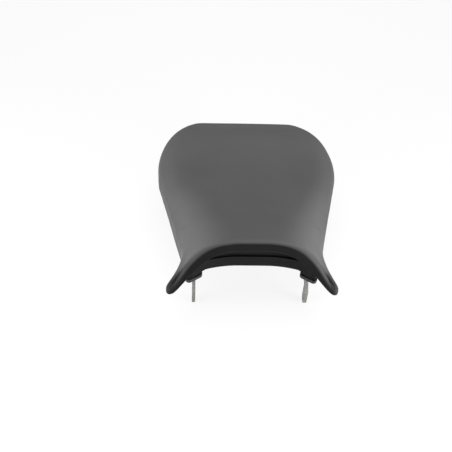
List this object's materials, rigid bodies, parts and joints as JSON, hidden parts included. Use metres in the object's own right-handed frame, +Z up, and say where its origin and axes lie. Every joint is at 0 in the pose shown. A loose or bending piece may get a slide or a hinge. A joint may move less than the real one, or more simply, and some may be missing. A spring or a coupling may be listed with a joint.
{
  "type": "motorcycle rider seat",
  "caption": "Sport motorcycle rider seat: vinyl-covered foam on a moulded pan with front bolt tabs, arched over the frame at its front and standing on rear rubber feet.",
  "frame": {"origin": "middle of the seat's bounding box at its lowest level, where the mounting tabs and the rear feet touch the floor", "axes": "+X to the right in the picture, -Y towards the front of the seat, +Z up"},
  "size_m": [0.294, 0.352, 0.1391],
  "materials": {
    "cover": "fine-grained vinyl, low sheen",
    "foam": "moulded open-cell foam",
    "pan": "moulded, fine texture",
    "bracket": "zinc-grey coating",
    "bolt": "zinc plated",
    "insert": "turned",
    "rubber": "moulded rubber"
  },
  "bodies": {
    "root": {"seat_cover": "cover", "foam_cushion": "foam", "base_pan": "pan", "bracket_right": "bracket", "bracket_left": "bracket", "bracket_bolts": "bolt", "bracket_inserts": "insert", "front_pads": "rubber", "side_bumpers": "rubber", "rear_feet": "rubber"}
  },
  "joints": []
}
